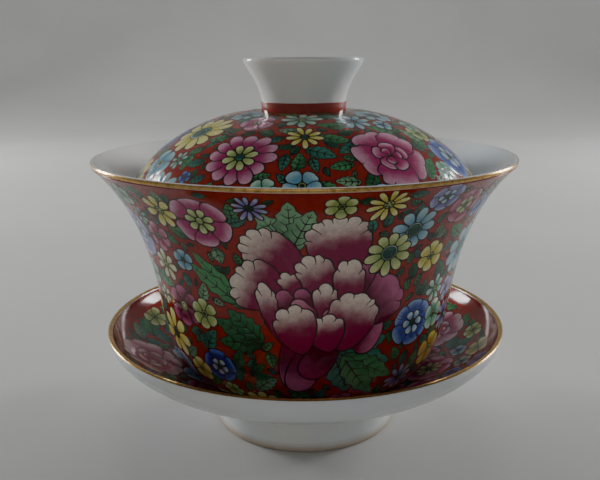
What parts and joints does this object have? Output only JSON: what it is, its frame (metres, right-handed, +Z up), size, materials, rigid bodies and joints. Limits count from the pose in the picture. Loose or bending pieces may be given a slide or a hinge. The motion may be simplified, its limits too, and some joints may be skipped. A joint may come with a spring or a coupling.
{
  "type": "gaiwan",
  "caption": "Lidded porcelain tea bowl with a flared rim on a deep footed saucer, painted with enamel flowers on red; the lid lifts off the bowl and the bowl off its saucer.",
  "frame": {"origin": "centre of the saucer's foot ring, on the table", "axes": "+Z up along the common axis of saucer, bowl and lid; -Y faces the main peony on the bowl; +X is to its right as seen from the front"},
  "size_m": [0.1058, 0.1058, 0.0951],
  "materials": {
    "porcelain": "clear gloss glaze over white porcelain",
    "painted_enamel": "glossy overglaze enamel: many-coloured flowers and leaves outlined in black on iron red",
    "gilding": "thin burnished gold line"
  },
  "bodies": {
    "saucer": {"saucer_foot_ring": "porcelain", "saucer_dish": "porcelain", "saucer_enamel": "painted_enamel", "saucer_gilt_rim": "gilding"},
    "bowl": {"bowl_foot_ring": "porcelain", "bowl_wall": "porcelain", "bowl_enamel": "painted_enamel", "bowl_gilt_rim": "gilding"},
    "lid": {"lid_dome": "porcelain", "lid_enamel": "painted_enamel", "lid_gilt_rim": "gilding", "lid_knob": "porcelain", "knob_enamel_line": "painted_enamel"}
  },
  "joints": [
    {"name": "bowl_lift", "type": "slide", "parent": "saucer", "child": "bowl", "axis": [0, 0, 1], "range_m": [0, 0.05]},
    {"name": "lid_lift", "type": "slide", "parent": "bowl", "child": "lid", "axis": [0, 0, 1], "range_m": [0, 0.045]}
  ]
}
